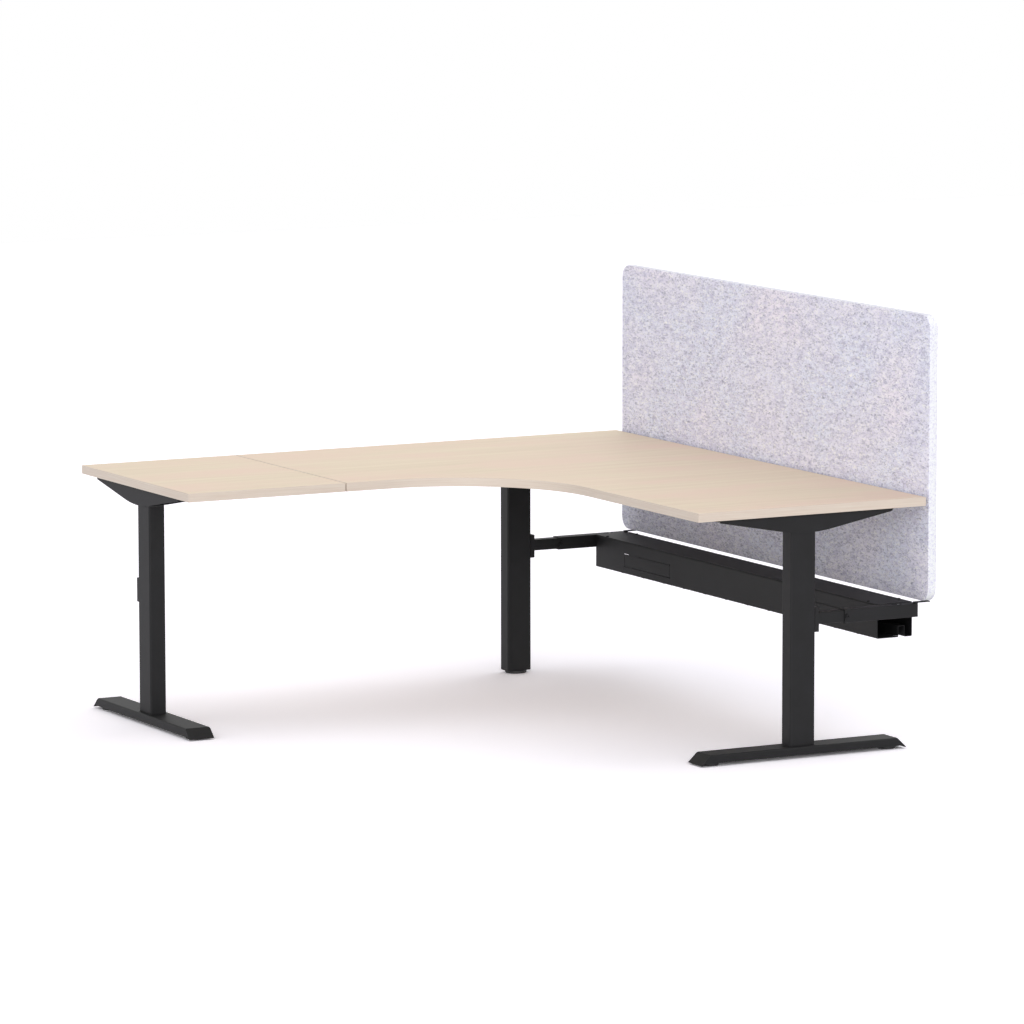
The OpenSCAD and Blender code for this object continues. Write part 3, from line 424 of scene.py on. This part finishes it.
@dataclass(frozen=True)
class MouldedNylon(Finish):
    """Glass-filled nylon, injection moulded in a spark-eroded tool.

    It gives a deep black, slightly softer than the powder coat, with a fine even grain.
    """

    name: str = "moulded_nylon"
    roughness: float = 0.55
    ior: float = 1.53
    deep_colour: str = "#131314"
    flow_colour: str = "#18181a"
    flow: Pattern = Pattern((18.0, 18.0, 18.0), span=(0.35, 0.65))
    # A real eroded grain is about 0.1 mm; drawn coarser so that it shows
    grain: Relief = Relief((0.8, 0.8, 0.8), detail=1.0, depth_mm=0.02, strength=0.6)

    def paint(self, brush: Brush) -> None:
        """Add faint flow clouds and the eroded grain."""
        brush.colour(brush.layer(self.flow, self.deep_colour, self.flow_colour))
        brush.raise_by(self.grain)


@dataclass(frozen=True)
class ZincPlatedSteel(Finish):
    """Steel screws, pins and posts, electroplated with zinc and passivated.

    It gives a cool grey metal with a trace of blue and yellow and a fine grain.
    """

    name: str = "zinc_plated_steel"
    roughness: float = 0.36
    metallic: float = 1.0
    zinc_colour: str = "#b9bcc1"
    passivated_colour: str = "#b5b19f"
    cloud: Pattern = Pattern((6.0, 6.0, 6.0), span=(0.45, 0.8), detail=3.0)
    # Real plating has a grain of about 0.05 mm; drawn coarser so that it shows
    grain: Relief = Relief((0.7, 0.7, 0.7), detail=1.0, depth_mm=0.01, strength=0.5)

    def paint(self, brush: Brush) -> None:
        """Add the passivation's tint and the plating's fine grain."""
        brush.colour(brush.layer(self.cloud, self.zinc_colour, self.passivated_colour))
        brush.raise_by(self.grain)


@dataclass(frozen=True)
class RolledSteel(Finish):
    """Carbon steel spindles with rolled threads, wiped with grease.

    It gives a darker, smoother metal than the zinc.
    """

    name: str = "rolled_steel"
    roughness: float = 0.27
    metallic: float = 1.0
    steel_colour: str = "#9c9d9f"
    grease_colour: str = "#7d7667"
    grease: Pattern = Pattern((9.0, 9.0, 9.0), span=(0.45, 0.7), detail=3.0)

    def paint(self, brush: Brush) -> None:
        """Add the uneven film of grease."""
        brush.colour(brush.layer(self.grease, self.steel_colour, self.grease_colour))


@dataclass(frozen=True)
class TurnedAcetal(Finish):
    """Acetal rod, turned and bored for the lifting nuts.

    It gives a waxy off-white with fine turning marks.
    """

    name: str = "turned_acetal"
    roughness: float = 0.38
    ior: float = 1.48
    rod_colour: str = "#ece9e1"
    mark_colour: str = "#dedacf"
    # Real turning marks are 0.1 mm apart; drawn coarser so that they show
    mark: Pattern = Pattern((60.0, 60.0, 0.8), span=(0.35, 0.65), detail=1.0)

    def paint(self, brush: Brush) -> None:
        """Add the turning marks."""
        brush.colour(brush.layer(self.mark, self.rod_colour, self.mark_colour))


class Surface(Enum):
    """The finishes on this workstation."""

    COAT = PowderCoatedSteel()
    BOARD = MapleDecor()
    BAND = EdgeBandAbs()
    FELT = PressedFelt()
    NYLON = MouldedNylon()
    ZINC = ZincPlatedSteel()
    SPINDLE = RolledSteel()
    ACETAL = TurnedAcetal()


class Column(Enum):
    """The three lifting columns, by the name that their pieces end in."""

    LEFT = "left"
    RIGHT = "right"
    CORNER = "corner"


# The columns that stand on T-feet, and those that carry an arm
FOOTED = (Column.LEFT, Column.RIGHT)
ARMED = (Column.RIGHT, Column.CORNER)


def loft(name: str, rings: list[list[Triple]], sharp_deg: float) -> bpy.types.Mesh:
    """Join rings of points into one closed skin.

    Args:
        name: the mesh's name.
        rings: the rings in order, each with as many points as the others.
        sharp_deg: how sharp an edge has to be to stay sharp in the shading.

    Returns:
        The new mesh.
    """
    shape = bmesh.new()
    loops = [[shape.verts.new(point) for point in ring] for ring in rings]
    for lower, upper in zip(loops, loops[1:]):
        for j in range(len(lower)):
            k = (j + 1) % len(lower)
            shape.faces.new((lower[j], lower[k], upper[k], upper[j]))
    shape.faces.new(reversed(loops[0]))
    shape.faces.new(loops[-1])
    mesh = bpy.data.meshes.new(name)
    shape.to_mesh(mesh)
    shape.free()
    mesh.shade_smooth()
    mesh.set_sharp_from_angle(angle=math.radians(sharp_deg))
    return mesh


class SubAssembly:
    """A group of pieces that are made and finished together."""

    # Points of a solid that lie closer than this are one
    weld_mm: ClassVar[float] = 0.002
    # Faces of a solid that meet at less than this are one flat face
    flat_deg: ClassVar[float] = 0.3
    # Edges that turn more than this are broken
    broken_deg: ClassVar[float] = 38.0

    def dress(self, node: str, surface: Surface) -> None:
        """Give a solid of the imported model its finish, with its shape as it is.

        Args:
            node: the solid's name.
            surface: its finish.
        """
        piece = frame["nodes"][node]
        piece.data.materials.clear()
        piece.data.materials.append(surface.value.material())
        log.info("%s: %s", node, surface.value.name)

    def soften(self, node: str, surface: Surface, edge_mm: float, steps: int = 2) -> None:
        """Let a copy with broken edges stand for a solid, as a sanded or folded piece has them.

        Args:
            node: the solid's name.
            surface: its finish.
            edge_mm: width of the broken edge.
            steps: faces across it.
        """
        shape = bmesh.new()
        shape.from_mesh(frame["nodes"][node].data)
        bmesh.ops.remove_doubles(shape, verts=shape.verts, dist=self.weld_mm * MM)
        bmesh.ops.dissolve_limit(
            shape,
            angle_limit=math.radians(self.flat_deg),
            verts=shape.verts,
            edges=shape.edges,
        )
        mesh = bpy.data.meshes.new(node + "_soft")
        shape.to_mesh(mesh)
        shape.free()
        piece = add_object(node + "_piece", mesh)
        bevel = piece.modifiers.new("broken_edges", "BEVEL")
        bevel.width = edge_mm * MM
        bevel.segments = steps
        bevel.limit_method = "ANGLE"
        bevel.angle_limit = math.radians(self.broken_deg)
        bevel.use_clamp_overlap = True
        flat = piece.modifiers.new("flat_faces", "WEIGHTED_NORMAL")
        flat.keep_sharp = True
        self.apply(piece)
        self.stand_for(piece, node, surface)

    def apply(self, piece: bpy.types.Object) -> None:
        """Turn a piece's modifiers into its mesh.

        Args:
            piece: the piece, whose old mesh is dropped.
        """
        old = piece.data
        old.shade_smooth()
        piece.data = bpy.data.meshes.new_from_object(
            piece.evaluated_get(bpy.context.evaluated_depsgraph_get())
        )
        piece.modifiers.clear()
        bpy.data.meshes.remove(old)

    def stand_for(self, piece: bpy.types.Object, node: str, surface: Surface) -> None:
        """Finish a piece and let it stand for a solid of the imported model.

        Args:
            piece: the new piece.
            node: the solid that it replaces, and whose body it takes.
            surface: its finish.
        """
        piece.data.materials.clear()
        piece.data.materials.append(surface.value.material())
        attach(piece, frame["nodes"][node]["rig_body"])
        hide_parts(node)
        log.info("%s: %s, %d faces", piece.name, surface.value.name, len(piece.data.polygons))


@dataclass
class Worktop(SubAssembly):
    """The two boards of the worktop with their edge bands and the plates under the seam."""

    band_edge_mm: float = 1.4
    band_steps: int = 3
    board_edge_mm: float = 0.15
    board_steps: int = 1
    plate_edge_mm: float = 0.4

    def build(self) -> None:
        """Make the boards, bands and plates."""
        for node in ("worktop_main", "worktop_extension"):
            self.soften(node, Surface.BOARD, self.board_edge_mm, self.board_steps)
        for node in ("edge_band_main", "edge_band_extension"):
            self.soften(node, Surface.BAND, self.band_edge_mm, self.band_steps)
        self.soften("seam_plates", Surface.COAT, self.plate_edge_mm)


@dataclass
class LiftingFrame(SubAssembly):
    """Everything that rises with the worktop: brackets, beams, inner tubes, motors and box."""

    sheet_edge_mm: float = 0.6
    tube_edge_mm: float = 0.3
    cast_edge_mm: float = 1.2
    cast_steps: int = 3

    def build(self) -> None:
        """Make the frame's pieces."""
        for node in (
            "side_bracket_left", "side_bracket_right", "corner_bracket", "beam_main", "beam_left"
        ):
            self.soften(node, Surface.COAT, self.sheet_edge_mm)
        for column in Column:
            self.soften(f"inner_tube_{column.value}", Surface.COAT, self.tube_edge_mm)
            self.soften(
                f"motor_{column.value}", Surface.NYLON, self.cast_edge_mm, self.cast_steps
            )
        self.soften("control_box", Surface.NYLON, self.cast_edge_mm, self.cast_steps)
        self.dress("lower_guides", Surface.NYLON)


@dataclass
class Legs(SubAssembly):
    """The three fixed columns with their feet, glides, collars and nut posts."""

    foot_edge_mm: float = 0.8
    tube_edge_mm: float = 0.4
    glide_edge_mm: float = 0.6
    corner_glide_edge_mm: float = 0.8
    collar_edge_mm: float = 0.4

    def build(self) -> None:
        """Make the legs' pieces."""
        for column in FOOTED:
            self.soften(f"foot_{column.value}", Surface.COAT, self.foot_edge_mm)
            for end in ("front", "back"):
                self.soften(f"glide_{column.value}_{end}", Surface.NYLON, self.glide_edge_mm)
        self.soften("glide_corner", Surface.NYLON, self.corner_glide_edge_mm)
        for column in Column:
            self.soften(f"outer_tube_{column.value}", Surface.COAT, self.tube_edge_mm)
            self.dress(f"nut_post_{column.value}", Surface.ZINC)
        self.soften("guide_collars", Surface.NYLON, self.collar_edge_mm)
        self.dress("lift_nuts", Surface.ACETAL)


@dataclass
class Spindles(SubAssembly):
    """The three lifting spindles with their four-start trapezoidal threads."""

    starts: int = 4
    lead_mm: float = 20.0
    crest_radius_mm: float = 6.0
    depth_mm: float = 1.0
    # Shares of the pitch that the crest and one flank take
    crest: float = 0.36
    flank: float = 0.14
    around: int = 24
    rise_mm: float = 1.25
    # The collar and the plain end that enters the gearbox
    collar_mm: float = 6.0
    entry_mm: float = 12.3
    collar_radius_mm: float = 10.0
    sharp_deg: float = 35.0

    def build(self) -> None:
        """Make one threaded spindle for each column."""
        for column in Column:
            node = f"spindle_{column.value}"
            mesh = loft(node + "_thread", self.rings(*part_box(node)), self.sharp_deg)
            self.stand_for(add_object(node + "_piece", mesh), node, Surface.SPINDLE)

    def radius(self, turn: float, height: float) -> float:
        """Distance of the thread's surface from the axis.

        Args:
            turn: angle round the axis, as a share of a turn.
            height: height on the spindle, in metres.

        Returns:
            The radius in metres.
        """
        lead = self.lead_mm * MM
        share = ((height - lead * turn) * self.starts / lead) % 1.0
        outer = self.crest_radius_mm * MM
        root = outer - self.depth_mm * MM
        if share < self.crest:
            return outer
        if share < self.crest + self.flank:
            return outer + (root - outer) * (share - self.crest) / self.flank
        if share < 1 - self.flank:
            return root
        return root + (outer - root) * (share - 1 + self.flank) / self.flank

    def rings(self, low: Vector, high: Vector) -> list[list[Triple]]:
        """Points of one spindle: its thread from the lower end up, its collar and plain end.

        Args:
            low: the spindle's lowest corner.
            high: its highest corner.

        Returns:
            The rings from the lowest to the highest.
        """
        thread_top = high.z - (self.entry_mm + self.collar_mm) * MM
        collar_top = thread_top + self.collar_mm * MM
        count = math.ceil((thread_top - low.z) / (self.rise_mm * MM))
        levels = [low.z + (thread_top - low.z) * i / count for i in range(count + 1)]
        profiles = [
            ([self.radius(j / self.around, z - low.z) for j in range(self.around)], z)
            for z in levels
        ]
        for radius_mm, z in (
            (self.collar_radius_mm, thread_top),
            (self.collar_radius_mm, collar_top),
            (self.crest_radius_mm, collar_top),
            (self.crest_radius_mm, high.z),
        ):
            profiles.append(([radius_mm * MM] * self.around, z))
        middle = (low + high) / 2
        turns = [math.tau * j / self.around for j in range(self.around)]
        return [
            [
                (middle.x + radius * math.cos(turn), middle.y + radius * math.sin(turn), z)
                for radius, turn in zip(radii, turns)
            ]
            for radii, z in profiles
        ]


@dataclass
class ScreenCarrier(SubAssembly):
    """The two telescopic arms behind the right wing, with the cable tray on them."""

    tube_edge_mm: float = 0.5
    plug_edge_mm: float = 0.5
    sheet_edge_mm: float = 0.4
    block_edge_mm: float = 0.8

    def build(self) -> None:
        """Make the arms, their sockets, the tray and the screen's brackets."""
        for column in Column:
            self.soften(f"arm_socket_{column.value}", Surface.COAT, self.block_edge_mm)
        for column in ARMED:
            self.soften(f"arm_inner_{column.value}", Surface.COAT, self.tube_edge_mm)
            self.soften(f"arm_outer_{column.value}", Surface.COAT, self.tube_edge_mm)
        self.soften("arm_end_plugs", Surface.NYLON, self.plug_edge_mm)
        for node in ("tray_channel", "tray_cover", "tray_rail"):
            self.soften(node, Surface.COAT, self.sheet_edge_mm)
        self.soften("screen_brackets", Surface.COAT, self.block_edge_mm)


@dataclass
class FeltScreen(SubAssembly):
    """The screen: one thick board of pressed felt with rounded corners and soft edges."""

    corner_mm: float = 38.0
    corner_steps: int = 14
    edge_mm: float = 2.5
    edge_steps: int = 4
    sharp_deg: float = 40.0

    def outline(self, inset: float, low: Vector, high: Vector) -> list[tuple[float, float]]:
        """Outline of the board, drawn in from its rim.

        Args:
            inset: how far it is drawn in, in metres.
            low: the board's lowest corner.
            high: its highest corner.

        Returns:
            Points in the plane of the board, as Y and Z.
        """
        radius = self.corner_mm * MM
        points = []
        for turn, (y, z) in enumerate((
            (high.y - radius, high.z - radius),
            (low.y + radius, high.z - radius),
            (low.y + radius, low.z + radius),
            (high.y - radius, low.z + radius),
        )):
            for step in range(self.corner_steps + 1):
                angle = math.pi / 2 * (turn + step / self.corner_steps)
                reach = radius - inset
                points.append((y + reach * math.cos(angle), z + reach * math.sin(angle)))
        return points

    def build(self) -> None:
        """Make the board as rings that roll over its edge, closed by two flat faces."""
        low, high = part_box("screen_panel")
        edge = self.edge_mm * MM
        quarter = [math.pi / 2 * i / self.edge_steps for i in range(self.edge_steps + 1)]
        rolls = [(edge * (1 - math.sin(a)), low.x + edge * (1 - math.cos(a))) for a in quarter]
        rolls += [(edge * (1 - math.cos(a)), high.x - edge * (1 - math.sin(a))) for a in quarter]
        rings = [[(x, y, z) for y, z in self.outline(inset, low, high)] for inset, x in rolls]
        piece = add_object("felt_screen", loft("felt_board", rings, self.sharp_deg))
        self.stand_for(piece, "screen_panel", Surface.FELT)


@dataclass
class Fasteners(SubAssembly):
    """Screws and pins: those that show are black, and the hidden ones are plated."""

    plated: tuple[str, ...] = (
        "foot_screws", "seam_screws", "worktop_screws", "frame_screws", "arm_stop_pins"
    )
    black: tuple[str, ...] = (
        "socket_screws", "grub_screws", "clamp_screws", "tray_screws", "screen_screws"
    )

    def build(self) -> None:
        """Dress every kind of fastener."""
        for node in self.plated:
            self.dress(node, Surface.ZINC)
        for node in self.black:
            self.dress(node, Surface.COAT)


@dataclass(frozen=True)
class Lamp:
    """A distant soft lamp.

    Its height is above the horizon, and its side is measured from the desk's front to the left.
    """

    name: str
    energy: float
    height_deg: float
    side_deg: float
    spread_deg: float = 60.0

    def hang(self) -> None:
        """Add the lamp to the scene."""
        data = bpy.data.lights.new(self.name, "SUN")
        data.energy = self.energy
        data.angle = math.radians(self.spread_deg)
        add_object(self.name, data).rotation_euler = (
            math.radians(90 - self.height_deg), 0, math.radians(-self.side_deg)
        )


@dataclass
class Studio:
    """The camera at the photograph's viewpoint, the lamps, the pale floor and the world."""

    place_mm: Triple = (-8162.7, -15359.1, 2967.2)
    yaw_deg: float = 28.0961
    pitch_deg: float = 7.6731
    roll_deg: float = -0.0702
    focal_px: float = 6078.33
    picture_px: float = 1024.0
    sensor_mm: float = 36.0
    sight_m: float = 200.0
    lamps: tuple[Lamp, ...] = (
        Lamp("overhead", energy=0.25, height_deg=85.0, side_deg=45.0, spread_deg=40.0),
        Lamp("front", energy=1.85, height_deg=10.0, side_deg=18.0),
        Lamp("left", energy=0.55, height_deg=20.0, side_deg=80.0),
        Lamp("behind_screen", energy=0.75, height_deg=50.0, side_deg=-105.0),
    )
    # What the world gives as light, and what is seen of it
    sky: float = 0.49
    sky_seen: float = 1.0
    floor_m: float = 30.0
    # What other surfaces see of the floor
    floor_paint: float = 0.72
    # What the camera sees: over 1, so that only the shadow's core is darker than white
    floor_seen: Triple = (1.27, 1.24, 1.31)
    # White that the shadow can't darken
    floor_glow: float = 0.05

    def camera(self) -> None:
        """Set the camera up and make it the scene's own."""
        yaw, pitch, roll = (
            math.radians(angle) for angle in (self.yaw_deg, self.pitch_deg, self.roll_deg)
        )
        ahead = Vector((
            math.sin(yaw) * math.cos(pitch), math.cos(yaw) * math.cos(pitch), -math.sin(pitch)
        ))
        right = ahead.cross(Vector((0, 0, 1))).normalized()
        up = right.cross(ahead)
        rolled_right = right * math.cos(roll) + up * math.sin(roll)
        rolled_up = up * math.cos(roll) - right * math.sin(roll)
        turned = Matrix((rolled_right, rolled_up, -ahead)).transposed().to_4x4()
        data = bpy.data.cameras.new("viewpoint")
        data.sensor_width = self.sensor_mm
        data.lens = self.focal_px / self.picture_px * self.sensor_mm
        data.clip_end = self.sight_m
        camera = add_object("viewpoint", data)
        camera.matrix_world = Matrix.Translation(Vector(self.place_mm) * MM) @ turned
        bpy.context.scene.camera = camera

    def seen(self, tree: bpy.types.NodeTree) -> Socket:
        """Tell what is looked at from what gives light to other surfaces.

        Args:
            tree: the node tree that asks.

        Returns:
            1 for the camera's rays and those of mirrors and glass, 0 for all others.
        """
        rays = add_node(tree, "LightPath").outputs
        seen = rays["Is Camera Ray"]
        for kind in ("Is Glossy Ray", "Is Transmission Ray"):
            either = add_node(tree, "Math", {0: seen, 1: rays[kind]}, operation="MAXIMUM")
            seen = either.outputs[0]
        return seen

    def world(self) -> None:
        """Make the world white to look at and in reflections, and plain as a light."""
        world = bpy.data.worlds.new("studio")
        world.use_nodes = True
        tree = world.node_tree
        tree.nodes.clear()
        light = add_node(tree, "Background", {"Color": WHITE, "Strength": self.sky})
        white = add_node(tree, "Background", {"Color": WHITE, "Strength": self.sky_seen})
        mixed = add_node(
            tree, "MixShader", {0: self.seen(tree), 1: light.outputs[0], 2: white.outputs[0]}
        )
        add_node(tree, "OutputWorld", {"Surface": mixed.outputs[0]})
        bpy.context.scene.world = world

    def floor_material(self) -> bpy.types.Material:
        """Paint for the floor, which keeps the desk's shadow and is white around it.

        Returns:
            The new material.
        """
        material = bpy.data.materials.new("studio_floor")
        material.use_nodes = True
        tree = material.node_tree
        tree.nodes.clear()
        paint = add_node(tree, "BsdfDiffuse", {"Color": (self.floor_paint,) * 3 + (1,)})
        white = add_node(tree, "BsdfDiffuse", {"Color": self.floor_seen + (1,)})
        glow = add_node(tree, "Emission", {"Color": WHITE, "Strength": self.floor_glow})
        pale = add_node(tree, "AddShader", {0: white.outputs[0], 1: glow.outputs[0]})
        mixed = add_node(
            tree, "MixShader", {0: self.seen(tree), 1: paint.outputs[0], 2: pale.outputs[0]}
        )
        add_node(tree, "OutputMaterial", {"Surface": mixed.outputs[0]})
        return material

    def floor(self) -> None:
        """Lay the pale floor."""
        half = self.floor_m / 2
        mesh = bpy.data.meshes.new("floor")
        corners = [(-half, -half, 0), (half, -half, 0), (half, half, 0), (-half, half, 0)]
        mesh.from_pydata(corners, [], [(0, 1, 2, 3)])
        mesh.materials.append(self.floor_material())
        add_object("floor", mesh)

    def build(self) -> None:
        """Set up the whole studio."""
        self.camera()
        for lamp in self.lamps:
            lamp.hang()
        self.world()
        self.floor()
        bpy.context.scene.view_settings.view_transform = "Standard"


def main() -> None:
    """Build the workstation's looks."""
    logging.basicConfig(level=logging.INFO, format="%(message)s")
    Studio().build()
    for assembly in (
        Worktop(), LiftingFrame(), Legs(), Spindles(), ScreenCarrier(), FeltScreen(), Fasteners()
    ):
        assembly.build()
        log.info("%s done", type(assembly).__name__)


if __name__ == "__main__":
    main()
